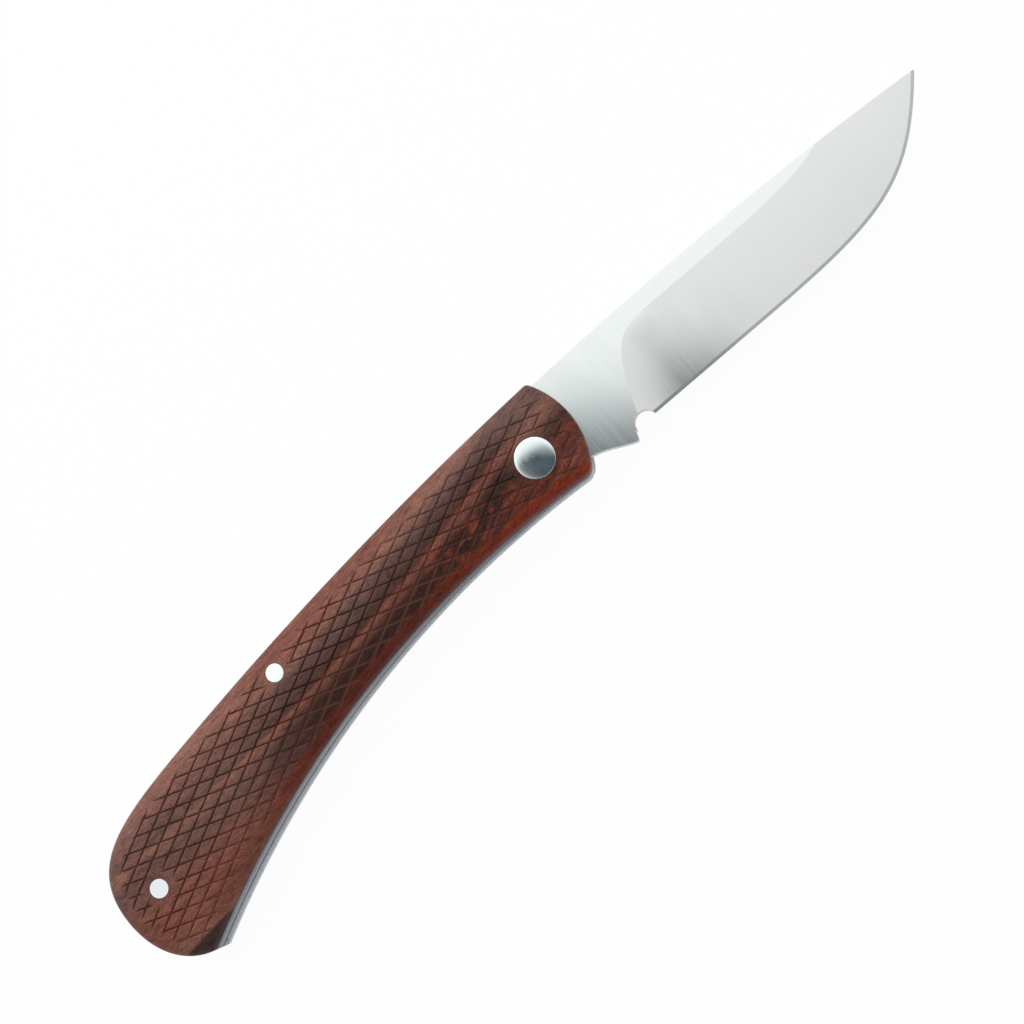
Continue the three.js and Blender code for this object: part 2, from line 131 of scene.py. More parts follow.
table_half = 2500
table = mesh_object(
    "table",
    [(x * table_half, y * table_half, 0) for x, y in ((-1, -1), (1, -1), (1, 1), (-1, 1))],
    [(0, 1, 2, 3)],
)
table.data.materials.append(table_white)

# The room: its light rises from the dim belly side to the bright and cooler back side
room = bpy.data.worlds.new("studio room")
scene.world = room
tree = bare_tree(room)
direction = add_node(tree, "TexCoord").outputs["Generated"]
bright_way = add_node(tree, "VectorMath", {0: direction, 1: (0, 0.8, 0.6)}, operation="DOT_PRODUCT")
bright_way = add_node(tree, "Math", {0: bright_way, 1: 0.0}, operation="MAXIMUM")
walls = add_node(
    tree,
    "ValToRGB",
    {"Fac": bright_way},
    (
        (0, "#8e9193"), (0.17, "#a5aaae"), (0.45, "#cac9ca"),
        (0.58, "#dad9da"), (0.68, "#e9eaeb"), (0.78, "#f4fafc"),
    ),
)
room_light = add_node(tree, "Background", {"Color": walls, "Strength": 1.25})
add_node(tree, "OutputWorld", {"Surface": room_light})

lamp_place = Vector((0, 420, 300)) * mm
lamp = bpy.data.objects.new("soft_lamp", bpy.data.lights.new("soft_lamp", "AREA"))
lamp.data.shape = "RECTANGLE"
lamp.data.size = 0.6
lamp.data.size_y = 0.35
lamp.data.energy = 0.8
lamp.matrix_world = facing(lamp_place, Vector((-10, 0, 6)) * mm, Vector((0, 0, 1)))
lamp.visible_camera = False
scene.collection.objects.link(lamp)

# A black net on a wire, held over the pivot to darken what the dome and the tang mirror. It is
# dense in the middle and thins out to nothing towards the blade, the back and the butt.
net_z = 80
west, east, south, north = -55, 42, -45, 28  # its sides
black_net = bpy.data.materials.new("black net")
tree = bare_tree(black_net)
place = add_node(tree, "TexCoord").outputs["Object"]
density = None
for way, thin, thick in (((0.64, 0.77, 0), 28, 6), ((0, 1, 0), 25, 13), ((1, 0, 0), west, -5)):
    along = add_node(tree, "VectorMath", {0: place, 1: way}, operation="DOT_PRODUCT")
    share = add_node(
        tree,
        "MapRange",
        {"Value": along, "From Min": thin * mm, "From Max": thick * mm},
        interpolation_type="SMOOTHSTEP",
    )
    density = add_node(tree, "Math", {0: density, 1: share}, operation="MULTIPLY") if density else share
threads = add_node(tree, "Emission", {"Color": colour("#4d5b61"), "Strength": 1.0})
open_mesh = add_node(tree, "BsdfTransparent")
netting = add_node(tree, "MixShader", {0: density, 1: open_mesh, 2: threads})
add_node(tree, "OutputMaterial", {"Surface": netting})
net_corners = [(x, y, net_z) for x, y in ((west, south), (east, south), (east, north), (west, north))]
net = mesh_object("net", net_corners, [(0, 3, 2, 1)])
net.data.materials.append(black_net)
net.visible_camera = False
net.visible_shadow = False
net.visible_diffuse = False


# Liners
# Two plates of stainless steel under the wood, stamped to the handle's outline and brushed
# along their edges, which show along the belly. The pins and the pivot's barrel go through them.

scale_thickness = 3.8
liner_thickness = 1.2
washer_thickness = 0.2
blade_stock = 2.6
running_gap = 0.02
pin_clearance = 0.02

left_liner_z = scale_thickness
slot_z = left_liner_z + liner_thickness
blade_z = slot_z + washer_thickness + running_gap
blade_top_z = blade_z + blade_stock
slot_top_z = blade_top_z + running_gap + washer_thickness
right_scale_z = slot_top_z + liner_thickness
top_z = right_scale_z + scale_thickness
middle_z = (blade_z + blade_top_z) / 2

nose_radius = 15.7
nose_centre = np.array((-6.6, 2.5))
back_crest = np.array((31, 11.35))
back_radius = 643
belly_crest = np.array((-8, -7.21))
belly_radius = 185.1
chin_radius = 2.2
front_corner_radius = 0.9
butt_end = np.array((-102.6, -14.4))
butt_length = 27.5  # end of the butt to where the back leaves its long arc
butt_shoulder = 18.2
butt_upper_turn = 11.9
butt_lower_turn = 6.65
butt_heel = np.array((-7.35, 0.6))
butt_corner = np.array((-91.8, -27.96))

pivot_diameter = 4.8
mid_pin = np.array((-56.3, 1.1))
mid_pin_diameter = 3.2
end_pin = np.array((-94.2, -13.9))
end_pin_diameter = 3.3


def below(crest, radius):
    return np.array((crest[0], crest[1] - radius))


def height_on(centre, radius, x):
    return centre[1] + math.sqrt(radius**2 - (x - centre[0]) ** 2)


def crossing(c1, r1, c2, r2):
    """Where two circles cross, left of the way from the first centre to the second."""
    way = c2 - c1
    gap = np.linalg.norm(way)
    along = (gap**2 + r1**2 - r2**2) / (2 * gap)
    off = math.sqrt(max(0, r1**2 - along**2))
    way = way / gap
    return c1 + way * along + np.array((-way[1], way[0])) * off


def arc(centre, start, end, steps, clockwise=False):
    radius = np.linalg.norm(start - centre)
    a = math.atan2(*(start - centre)[::-1])
    turn = (math.atan2(*(end - centre)[::-1]) - a) % math.tau
    if clockwise:
        turn -= math.tau
    angles = a + turn * np.linspace(0, 1, steps + 1)
    return centre + radius * np.stack([np.cos(angles), np.sin(angles)], 1)


def bezier(a, b, c, d, steps):
    t = np.linspace(0, 1, steps + 1)[:, None]
    return a * (1 - t) ** 3 + 3 * b * t * (1 - t) ** 2 + 3 * c * t * t * (1 - t) + d * t**3


def joined(*stretches):
    """One closed outline from stretches of points, without doubled points."""
    points = np.concatenate([np.atleast_2d(s) for s in stretches])
    ahead = np.roll(points, -1, axis=0)
    return points[np.linalg.norm(ahead - points, axis=1) > 1e-3]


back_centre = below(back_crest, back_radius)


def back_at(x):
    return np.array((x, height_on(back_centre, back_radius, x)))


def butt_curves(steps):
    start = back_at(butt_end[0] + butt_length)
    along = (start - back_centre) / back_radius
    shoulder = start + butt_shoulder * np.array((-along[1], along[0]))
    upper = bezier(start, shoulder, butt_end + (0, butt_upper_turn), butt_end, steps)
    lower = bezier(butt_end, butt_end - (0, butt_lower_turn), butt_corner + butt_heel, butt_corner, steps)
    return upper, lower


def heel_of(lower, belly, radius):
    """The lower turn of the butt, cut off where it meets the belly's circle."""
    beyond = np.linalg.norm(lower - belly, axis=1) - radius
    last = np.flatnonzero(beyond > 0)[-1]
    share = beyond[last] / (beyond[last] - beyond[last + 1])
    return np.concatenate([lower[: last + 1], [lower[last] + share * (lower[last + 1] - lower[last])]])


def handle_outline(crest, radius):
    """The handle's outline with its belly on a circle, from the chin round by the back."""
    belly = below(crest, radius)
    chin = crossing(nose_centre, nose_radius - chin_radius, belly, radius + chin_radius)
    front = crossing(
        nose_centre, nose_radius - front_corner_radius, back_centre, back_radius - front_corner_radius
    )
    on = lambda centre, through, reach: centre + (through - centre) * reach / np.linalg.norm(through - centre)
    chin_low = on(belly, chin, radius)
    chin_front = on(nose_centre, chin, nose_radius)
    front_low = on(nose_centre, front, nose_radius)
    front_back = on(back_centre, front, back_radius)
    upper, lower = butt_curves(60)
    heel = heel_of(lower, belly, radius)
    return joined(
        arc(chin, chin_low, chin_front, 10),
        arc(nose_centre, chin_front, front_low, 48),
        arc(front, front_low, front_back, 8),
        arc(back_centre, front_back, upper[0], 140),
        upper,
        heel,
        arc(belly, heel[-1], chin_low, 180, clockwise=True),
    )


def circle(centre, diameter, steps=48):
    angles = math.tau * np.arange(steps) / steps
    return centre + diameter / 2 * np.stack([np.cos(angles), np.sin(angles)], 1)


def inset(loop, distance):
    """The loop drawn in by a small distance, square to its own line."""
    ahead = np.roll(loop, -1, axis=0) - loop
    ahead /= np.linalg.norm(ahead, axis=1)[:, None]
    behind = np.roll(ahead, 1, axis=0)
    way = ahead + behind
    way /= np.linalg.norm(way, axis=1)[:, None]
    lean = np.clip((way * ahead).sum(1), 0.4, 1)[:, None]
    return loop + distance / lean * np.stack([-way[:, 1], way[:, 0]], 1)


def within(loop, points):
    """Which points lie inside a closed loop."""
    inside = np.zeros(len(points), bool)
    x, y = points[:, 0], points[:, 1]
    for (x0, y0), (x1, y1) in zip(loop, np.roll(loop, -1, axis=0)):
        if y0 != y1:
            inside ^= ((y0 > y) != (y1 > y)) & (x < (x1 - x0) * (y - y0) / (y1 - y0) + x0)
    return inside


def sheet_of(loops, lines=(), points=()):
    """Triangles that fill the first loop less the others, and follow the lines and points.
    Gives the corners, the triangles, and each loop's numbers among the corners."""
    given = []
    edges = []
    for loop in loops:
        first = len(given)
        given += list(loop)
        edges += [(first + i, first + (i + 1) % len(loop)) for i in range(len(loop))]
    for line in lines:
        first = len(given)
        given += list(line)
        edges += [(first + i, first + i + 1) for i in range(len(line) - 1)]
    given += list(points)
    corners, _, faces, sources, _, _ = delaunay_2d_cdt([Vector(p) for p in given], edges, [], 0, 1e-5)
    corners = np.array([tuple(c) for c in corners])
    faces = np.array(faces)
    middles = corners[faces].mean(1)
    kept = within(loops[0], middles)
    for hole in loops[1:]:
        kept &= ~within(hole, middles)
    faces = faces[kept]
    a, b, c = (corners[faces[:, i]] for i in range(3))
    area = (b[:, 0] - a[:, 0]) * (c[:, 1] - a[:, 1]) - (b[:, 1] - a[:, 1]) * (c[:, 0] - a[:, 0])
    faces[area < 0] = faces[area < 0][:, ::-1]
    faces = faces[np.abs(area) > 1e-9]
    place = {}
    for number, origins in enumerate(sources):
        for origin in origins:
            place[origin] = number
    numbers = []
    first = 0
    for loop in loops:
        numbers.append([place[first + i] for i in range(len(loop))])
        first += len(loop)
    return corners, faces, numbers


def smooth(thing, sharp_from=30):
    thing.data.polygons.foreach_set("use_smooth", [True] * len(thing.data.polygons))
    thing.data.set_sharp_from_angle(angle=math.radians(sharp_from))
    return thing


def band(low, high):
    """Faces between two rings of as many points."""
    after = lambda i: (i + 1) % len(low)
    return [(low[i], low[after(i)], high[after(i)], high[i]) for i in range(len(low))]


def plate(name, outline, holes, z0, z1, broken_edge):
    """A flat plate with holes, every edge broken by a small chamfer."""
    loops = [outline] + [hole[::-1] for hole in holes]
    drawn_in = [inset(loop, broken_edge) for loop in loops]
    corners, triangles, numbers = sheet_of(drawn_in)
    count = len(corners)
    points = [(x, y, z0) for x, y in corners] + [(x, y, z1) for x, y in corners]
    faces = [(c, b, a) for a, b, c in triangles]
    faces += [(a + count, b + count, c + count) for a, b, c in triangles]
    for loop, ring in zip(loops, numbers):
        size = len(loop)
        low = len(points)
        points += [(x, y, z0 + broken_edge) for x, y in loop]
        high = len(points)
        points += [(x, y, z1 - broken_edge) for x, y in loop]
        rings = [ring, range(low, low + size), range(high, high + size), [n + count for n in ring]]
        for under, over in zip(rings, rings[1:]):
            faces += band(under, over)
    return smooth(mesh_object(name, points, faces))


def dress(thing, material, body, slot, *nodes):
    """Gives a piece its finish, its body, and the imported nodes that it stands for."""
    thing.data.materials.append(material)
    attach(thing, body)
    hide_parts(*nodes)


def brushed_steel(name, base, roughness, brush, clouding, depth, metal=1.0):
    """Steel rubbed with grit: fine parallel scratches that catch the light. The scratches are
    finer than the picture shows, so they are drawn coarser, at the given spacings in mm."""
    material = bpy.data.materials.new(name)
    tree = bare_tree(material)
    place = add_node(tree, "TexCoord").outputs["Object"]
    noises = []
    for spacings, detail in ((brush, 2.0), (clouding, 3.0)):
        spread = [1 / (mm * spacing) for spacing in spacings]
        stretched = add_node(tree, "VectorMath", {0: place, 1: spread}, operation="MULTIPLY")
        noises.append(add_node(tree, "TexNoise", {"Vector": stretched, "Scale": 1.0, "Detail": detail}))
    scratches, clouds = noises
    scuffs = add_node(tree, "Math", {0: scratches, 1: clouds}, operation="ADD")
    low, high = roughness - 0.05, roughness + 0.05
    reach = {"Value": scuffs, "From Min": 0.7, "From Max": 1.3, "To Min": low, "To Max": high}
    gloss = add_node(tree, "MapRange", reach)
    shades = {"Factor": scratches, "A": colour(base[0]), "B": colour(base[1])}
    shade = add_node(tree, "Mix", shades, data_type="RGBA")
    relief = add_node(tree, "Bump", {"Height": scratches, "Distance": depth * mm, "Strength": 1.0})
    finish = {"Base Color": shade, "Metallic": metal, "Roughness": gloss, "Normal": relief}
    surface = add_node(tree, "BsdfPrincipled", finish)
    add_node(tree, "OutputMaterial", {"Surface": surface})
    return material


# Stainless steel, ground flat: blue-grey, with scratches that run along the edge
liner_steel = brushed_steel(
    "ground stainless steel", ("#a2a8ad", "#b7bdc2"), 0.4, (6, 6, 0.12), (9, 9, 2), 0.002, metal=0.5
)
# The same sheet on its inner side and on the far liner's belly edge: blasted matt, so that it takes light
# from every side, and painted near-white, a lit copy of the liner steel whose paleness is painted light
painted_lit_blasted_steel = brushed_steel(
    "blasted stainless steel, painted lit", ("#eef3f6", "#f6fafc"), 0.85, (2, 2, 2), (6, 6, 6), 0.002, metal=0.0
)
# Its sheared edge along the belly, left rough and painted dark red-brown, a painted reflection of the shaded
# table and wood beside the knife: a thin dark line
painted_dark_edge = brushed_steel(
    "sheared stainless edge, painted dark", ("#664c47", "#7a625c"), 0.6,
    (0.8, 0.8, 0.3), (3, 3, 3), 0.002, metal=0.3,
)

liner_outline = handle_outline(belly_crest, belly_radius)
liner_holes = [
    circle(np.zeros(2), pivot_diameter + 2 * pin_clearance),
    circle(mid_pin, mid_pin_diameter + 2 * pin_clearance),
    circle(end_pin, end_pin_diameter + 2 * pin_clearance),
]
hole_reach = 5  # no wall of a hole in front of the heel lies this far from the pivot's height
for name, node, low, high, inwards in (
    ("liner_left", "left_liner", left_liner_z, slot_z, 1),
    ("liner_right", "right_liner", slot_top_z, right_scale_z, -1),
):
    liner = plate(name, liner_outline, liner_holes, low, high, broken_edge=0.08)
    dress(liner, liner_steel, "handle", "liner_steel", node)
    liner.data.materials.append(painted_lit_blasted_steel)
    liner.data.materials.append(painted_dark_edge)
    heel_end = liner_outline[liner_outline[:, 1].argmin(), 0] * mm
    # Inward faces and the far liner's belly edge take the pale steel, painted lit; the near liner's belly
    # edge takes the dark edge, a painted reflection
    for face in liner.data.polygons:
        outside = abs(face.center.y) > hole_reach * mm
        along_belly = face.normal.y < -0.4 and face.center.x > heel_end and outside
        if face.normal.z * inwards > 0.9 or (along_belly and node == "left_liner"):
            face.material_index = 1
        elif along_belly and abs(face.normal.z) < 0.5:
            face.material_index = 2


# Backspring
# A bar of spring steel that fills the slot along the back and round the butt. The middle and
# end pins hold it, and its free front end presses on the tang. Ground on its back, with the liners.

tang_seat = 6
stop_shoulder = 3.6
spring_gap = 0.1
flush_inset = 0.05
seat_length = 20.6
boss_radius = mid_pin_diameter / 2 + 0.9
boss_back, boss_front = -116, -26  # degrees, where the boss leaves the spring's inner edge
tail_end = 0.2  # the spring's foot reaches this far past the liners' corner
tail_lift = 0.3  # and stands back this far from their belly


def on_boss(degrees):
    turn = math.radians(degrees)
    return mid_pin + boss_radius * np.array((math.cos(turn), math.sin(turn)))


spring_front = stop_shoulder - spring_gap
upper_butt, lower_butt = butt_curves(60)
belly_centre = below(belly_crest, belly_radius)
heel = heel_of(lower_butt, belly_centre, belly_radius)
foot_x = heel[-1, 0] + tail_end
foot = np.array((foot_x, height_on(belly_centre, belly_radius, foot_x) + tail_lift))
outer = joined(arc(back_centre, back_at(spring_front), upper_butt[0], 140), upper_butt, heel[:-1], foot)
outer = inset(outer, flush_inset)[: len(outer) - 1]
spring_seat_end = np.array((spring_front - seat_length, tang_seat))
spring_outline = joined(
    np.array((spring_front, tang_seat)),
    outer,
    bezier(foot, np.array((-88.3, -15)), np.array((-77, -3.8)), on_boss(boss_back), 60),
    arc(mid_pin, on_boss(boss_back), on_boss(boss_front), 16),
    bezier(on_boss(boss_front), np.array((-43, 2.4)), np.array((-33, 5)), spring_seat_end, 50),
)

# Spring steel, hardened and ground along its length: a little darker than the liners
spring_steel = brushed_steel(
    "ground spring steel", ("#a2a8ac", "#bcc2c5"), 0.34, (8, 8, 0.15), (12, 12, 3), 0.002
)
spring_z, spring_top_z = slot_z + running_gap, slot_top_z - running_gap
backspring = plate("spring", spring_outline, liner_holes[1:], spring_z, spring_top_z, broken_edge=0.06)
dress(backspring, spring_steel, "handle", "spring_steel", "backspring")


# Washers
# Two thin rings of phosphor bronze, stamped and rolled smooth, between the tang and the liners.

washer_diameter = 9.4
pivot_clearance = 0.05

# Phosphor bronze, rolled: warm brown-gold with a soft sheen
rolled_bronze = brushed_steel(
    "rolled phosphor bronze", ("#a9773f", "#c08f55"), 0.3, (3, 0.4, 3), (5, 5, 5), 0.001
)
for name, node, low in (
    ("washer_left", "left_washer", slot_z),
    ("washer_right", "right_washer", slot_top_z - washer_thickness),
):
    washer = plate(
        name,
        circle(np.zeros(2), washer_diameter, 72),
        [circle(np.zeros(2), pivot_diameter + 2 * pivot_clearance, 72)],
        low,
        low + washer_thickness,
        broken_edge=0.03,
    )
    dress(washer, rolled_bronze, "handle", "bronze", node)


# Blade
# One bar of tool steel, cut to shape, ground thin behind a straight edge on a round wheel that
# leaves the curved plunge, and finished with fine scratches across the blade.

blade_reach = 89.75
spine_crest = np.array((36, 11.075))
spine_radius = 796
edge_drop = 6.45
sweep_start = 45.5
sweep_run = 25.1
point_run = 18.5
point_angle = 48.9
bevel_width = 14.5  # height of the ground face above the edge
bevel_land = 0.36  # thickness behind the fine edge
fine_edge = 0.55  # width of the fine edge
plunge_foot = np.array((17.6, -5))
plunge_pull = np.array((21.2, 4.8))
plunge_head = np.array((29, bevel_width - edge_drop))
plunge_ease = 5.75
grind_belly = 0.15  # how far the ground face swells beyond a flat wedge
wheel_radius = 38  # of the grinding wheel that leaves the plunge
choil_centre = np.array((17.95, -6.72))
choil_radius = 2.05
kick = np.array((15.05, -8.3))
kick_face = np.array((15.55, -6.7))
kick_radius = 0.5
tang_hollow_start = np.array((11.5, -7.4))
tang_hollow_end = np.array((7.4, -2.8))
tang_corner_radius = 2
closed_angle = math.radians(171.5)
closed_seat_end = 1.5

spine_centre = below(spine_crest, spine_radius)


def spine_at(x):
    return np.array((x, height_on(spine_centre, spine_radius, x)))


def rounded(a, b, c, radius, steps):
    """The corner at b, rounded between straight lines from a and to c."""
    to_a = (a - b) / np.linalg.norm(a - b)
    to_c = (c - b) / np.linalg.norm(c - b)
    half = math.acos(float(to_a @ to_c)) / 2
    start = b + to_a * radius / math.tan(half)
    end = b + to_c * radius / math.tan(half)
    middle = (to_a + to_c) / np.linalg.norm(to_a + to_c)
    centre = b + middle * radius / math.sin(half)
    s, e = start - centre, end - centre
    return arc(centre, start, end, steps, clockwise=s[0] * e[1] - s[1] * e[0] < 0)


def seat_at(x):
    """On the flat of the tang that the spring rests on when the blade is shut."""
    normal = np.array((-math.sin(closed_angle), math.cos(closed_angle)))
    return np.array((x, (tang_seat - spring_gap - normal[0] * x) / normal[1]))


point = spine_at(blade_reach)
tilt = math.radians(point_angle)
edge_sweep = bezier(
    np.array((sweep_start, -edge_drop)),
    np.array((sweep_start + sweep_run, -edge_drop)),
    point - point_run * np.array((math.cos(tilt), math.sin(tilt))),
    point,
    240,
)
choil_half = lambda y: math.sqrt(choil_radius**2 - (y - choil_centre[1]) ** 2)
choil_end = np.array((choil_centre[0] + choil_half(-edge_drop), -edge_drop))
choil_start = np.array((choil_centre[0] - choil_half(kick_face[1]), kick_face[1]))
straight = np.linspace(choil_end, edge_sweep[0], 30)
seat_front = np.array((stop_shoulder, tang_seat - spring_gap))
rear_top = np.array((-tang_seat, tang_seat - spring_gap))
rear_low = seat_at(-tang_seat)
seat_end = seat_at(closed_seat_end)
tip_x = 89.58  # the very point is blunted by a hair
blade_outline = joined(
    straight,
    edge_sweep[edge_sweep[:, 0] < tip_x],
    arc(spine_centre, spine_at(tip_x), spine_at(stop_shoulder), 120),
    seat_front,
    rounded(seat_front, rear_top, rear_low, tang_corner_radius, 12),
    rounded(rear_top, rear_low, seat_end, tang_corner_radius, 12),
    bezier(seat_end, tang_hollow_end, tang_hollow_start, kick, 40)[:-1],
    rounded(tang_hollow_start, kick, kick_face, kick_radius, 8),
    kick_face,
    arc(choil_centre, choil_start, choil_end, 40, clockwise=True),
)
edge_line = np.concatenate([[(-30, -edge_drop)], edge_sweep])
plunge_line = bezier(plunge_foot, plunge_pull, plunge_head - (plunge_ease, 0), plunge_head, 60)


def nearest_on(line, points, at_once=4000):
    """Distance from each point to a line of points, and the nearest place on it."""
    a, b = line[:-1], line[1:]
    way = b - a
    length = (way**2).sum(1)
    best = np.full(len(points), np.inf)
    place = np.zeros((len(points), 2))
    for first in range(0, len(points), at_once):
        some = points[first : first + at_once]
        t = ((some[:, None] - a) * way).sum(2) / length
        feet = a + np.clip(t, 0, 1)[..., None] * way
        gaps = np.linalg.norm(some[:, None] - feet, axis=2)
        nearest = gaps.argmin(1)
        rows = np.arange(len(some))
        best[first : first + at_once] = gaps[rows, nearest]
        place[first : first + at_once] = feet[rows, nearest]
    return best, place


def ground_half(points):
    """Half the thickness of the ground face: a slightly rounded wedge behind the edge, and the
    fillet that the wheel leaves along the plunge."""
    from_edge, _ = nearest_on(edge_line, points)
    share = np.minimum(1, (from_edge - fine_edge) / (bevel_width - fine_edge))
    share = share + grind_belly * share * (1 - share)
    wedge = bevel_land / 2 + (blade_stock - bevel_land) / 2 * share
    to_plunge, _ = nearest_on(plunge_line, points)
    reach = np.sqrt(2 * wheel_radius * (blade_stock / 2 - wedge))
    return wedge + np.maximum(0, reach - to_plunge) ** 2 / (2 * wheel_radius)


def edge_half(points):
    from_edge, _ = nearest_on(edge_line, points)
    return bevel_land / 2 * from_edge / fine_edge


def flat_half(points):
    return np.full(len(points), blade_stock / 2)


def zone_of(points):
    """0 the flat of the tang and spine, 1 the ground face, 2 the fine edge."""
    from_edge, _ = nearest_on(edge_line, points)
    plunge_height = np.interp(points[:, 0], plunge_line[:, 0], plunge_line[:, 1])
    ground = (points[:, 0] > plunge_foot[0]) & (points[:, 1] < plunge_height)
    ground |= points[:, 0] > plunge_head[0]
    zone = np.where(ground & (from_edge < bevel_width), 1, 0)
    zone[(from_edge < fine_edge) & (points[:, 0] > choil_centre[0])] = 2
    return zone


def offset_from_edge(distance, steps):
    """The line at one distance from the edge, cut off at the spine."""
    along = np.diff(edge_line, axis=0)
    along /= np.linalg.norm(along, axis=1)[:, None]
    line = edge_line[1:] + distance * np.stack([-along[:, 1], along[:, 0]], 1)
    line = np.concatenate([np.linspace((choil_end[0] - 3, distance - edge_drop), line[0], steps), line[1:]])
    return line[np.linalg.norm(line - spine_centre, axis=1) < spine_radius - 0.01]


grind_line = offset_from_edge(bevel_width, 40)
grind_line = grind_line[grind_line[:, 0] > plunge_head[0] + 0.2]
# Where the plunge meets the spine's flat the two lines join
grind_line = np.concatenate([plunge_line, grind_line])
edge_bevel_line = offset_from_edge(fine_edge, 60)
edge_bevel_line = edge_bevel_line[edge_bevel_line[:, 0] > choil_centre[0]]

# Points for the faces' triangles, closer together where the plunge turns
fill = [(x, y) for x in np.arange(15, 90, 1.5) for y in np.arange(-6, 11, 1.5)]
fill += [(x, y) for x in np.arange(17.5, 34, 0.6) for y in np.arange(-5.8, 8.2, 0.6)]
fill = np.array(fill)[within(blade_outline, np.array(fill))]
for line, gap in ((blade_outline, 0.3), (grind_line, 0.15), (edge_bevel_line, 0.15)):
    fill = fill[nearest_on(line, fill)[0] > gap]
pivot_hole = circle(np.zeros(2), pivot_diameter + 2 * pivot_clearance, 72)
corners, triangles, _ = sheet_of([blade_outline, pivot_hole[::-1]], [grind_line, edge_bevel_line], fill)

halves = np.stack([flat_half(corners), ground_half(corners), edge_half(corners)])
zones = zone_of(corners[triangles].mean(1))
half = np.choose(zone_of(corners), halves)
on_line = nearest_on(plunge_line, corners)[0] < 1e-3
half[on_line] = blade_stock / 2


def just_inside(solids, share):
    """The corners of each triangle, drawn in to its middle by a share, so that a slope taken there
    is this triangle's own and neighbours keep a crisp line between them."""
    return (solids + share * (solids.mean(1)[:, None] - solids)).reshape(-1, 2)


def slopes_at(points, height_at, step):
    """How steeply a height rises along X and along Y."""
    shifts = np.array(((step, 0), (0, step)))
    return np.stack([(height_at(points + s) - height_at(points - s)) / (2 * step) for s in shifts], 1)


def normals_of(slopes):
    normals = np.concatenate([-slopes, np.ones((*slopes.shape[:2], 1))], 2)
    return normals / np.linalg.norm(normals, axis=2)[..., None]


loop_zones = np.repeat(zones, 3)
loop_points = just_inside(corners[triangles], 0.12)
loop_slopes = np.zeros((len(loop_points), 2))
for zone, half_at in ((1, ground_half), (2, edge_half)):
    mine = loop_zones == zone
    loop_slopes[mine] = slopes_at(loop_points[mine], half_at, 0.01)


def two_sided(name, corners, triangles, half, loop_normals, centre_z):
    """A body between two mirrored faces, walled where they end and closed where they meet."""
    count = len(corners)
    shut = half < 1e-3
    under = np.where(shut, np.arange(count), np.arange(count) + count)
    points = [(x, y, centre_z + h) for (x, y), h in zip(corners, half)]
    points += [(x, y, centre_z - h) for (x, y), h in zip(corners, half)]
    faces = [tuple(t) for t in triangles]
    faces += [tuple(under[t[::-1]]) for t in triangles]
    sides = {}
    for t in triangles:
        for a, b in ((t[0], t[1]), (t[1], t[2]), (t[2], t[0])):
            sides[(a, b)] = sides.get((a, b), 0) + 1
    for a, b in sides:
        if (b, a) in sides:
            continue
        wall = [b, a, under[a], under[b]]
        wall = [n for i, n in enumerate(wall) if n not in wall[:i]]
        if len(wall) > 2:
            faces.append(tuple(int(n) for n in wall))
    thing = mesh_object(name, points, [tuple(int(n) for n in f) for f in faces])
    smooth(thing, 35)
    normals = np.zeros((len(thing.data.loops), 3))
    top = loop_normals.reshape(-1, 3)
    normals[: len(top)] = top
    normals[len(top) : 2 * len(top)] = (loop_normals[:, ::-1] * (1, 1, -1)).reshape(-1, 3)
    thing.data.normals_split_custom_set(normals.tolist())
    return thing


loop_normals = normals_of(loop_slopes.reshape(*triangles.shape, 2))
blade = two_sided("satin_blade", corners, triangles, half, loop_normals, middle_z)

# Tool steel, rubbed across with 400 grit: bright satin, with soft upright scratches
satin_steel = brushed_steel("satin tool steel", ("#e2e5e2", "#eef0ed"), 0.2, (0.12, 9, 9), (3, 14, 3), 0.0006)
dress(blade, satin_steel, "blade", "blade_steel", "blade")


# Wooden scales
# Two slabs of oiled red-brown hardwood, sawn so that dark streaks run along the handle, crowned,
# and cut with two families of fine V grooves that leave lozenges. Pins and pivot hold them.

wood_belly_crest = np.array((-9.7, -6.77))
wood_belly_radius = 181.6
crown_edge = 1.1  # straight wall above the liner
crown_width = 6
head_diameter = 7
head_seat = 1.5
groove_half = 0.17
grazed_half = 0.26  # the same near the belly, where the cutter lay over on the falling side
groove_depth = 0.16
shoulder_half = 0.5  # worn, rounded edges of each lozenge
shoulder_depth = 0.05
groove_taper = 1.1
field_margin = 2.4  # bare wood round the checkering
belly_margin = 1.4  # the same along the belly and round the chin
pin_margin = 0.9
head_margin = 0.6  # round the pivot's head
shortest_groove = 2.6
groove_slip = 0.4  # how far a groove ends short of the field's border, or past it
# Two families of grooves: direction, place of the first, spacing and its growth, in mm, numbers
first_family = (math.radians(27), -3.71, 1.96, 0.0053, range(-5, 22))
second_family = (math.radians(-19.5), 6.64, -2.094, -0.00546, range(-4, 28))

wood_outline = handle_outline(wood_belly_crest, wood_belly_radius)
wood_line = np.concatenate([wood_outline, wood_outline[:1]])
stops = (
    (np.zeros(2), head_diameter / 2 + head_margin),
    (mid_pin, mid_pin_diameter / 2 + pin_margin),
    (end_pin, end_pin_diameter / 2 + pin_margin),
)
wood_belly_centre = below(wood_belly_crest, wood_belly_radius)


def in_field(points):
    """Which points are far enough from the edge of the wood to be checkered."""
    gap, foot = nearest_on(wood_line, points)
    from_belly = np.linalg.norm(points - wood_belly_centre, axis=1) - wood_belly_radius
    low = (from_belly < gap + 0.05) | ((foot[:, 0] > -4) & (foot[:, 1] < 4))
    return within(wood_outline, points) & (gap > np.where(low, belly_margin, field_margin))


def crown_height(points):
    """Height above the liner, and its slope inwards: a straight wall, then a quarter of an oval."""
    gap, _ = nearest_on(wood_line, points)
    share = 1 - np.clip(gap / crown_width, 0, 1)
    rise = scale_thickness - crown_edge
    up = np.sqrt(1 - share**2)
    return crown_edge + rise * up, rise * share / (crown_width * np.maximum(up, 0.03))


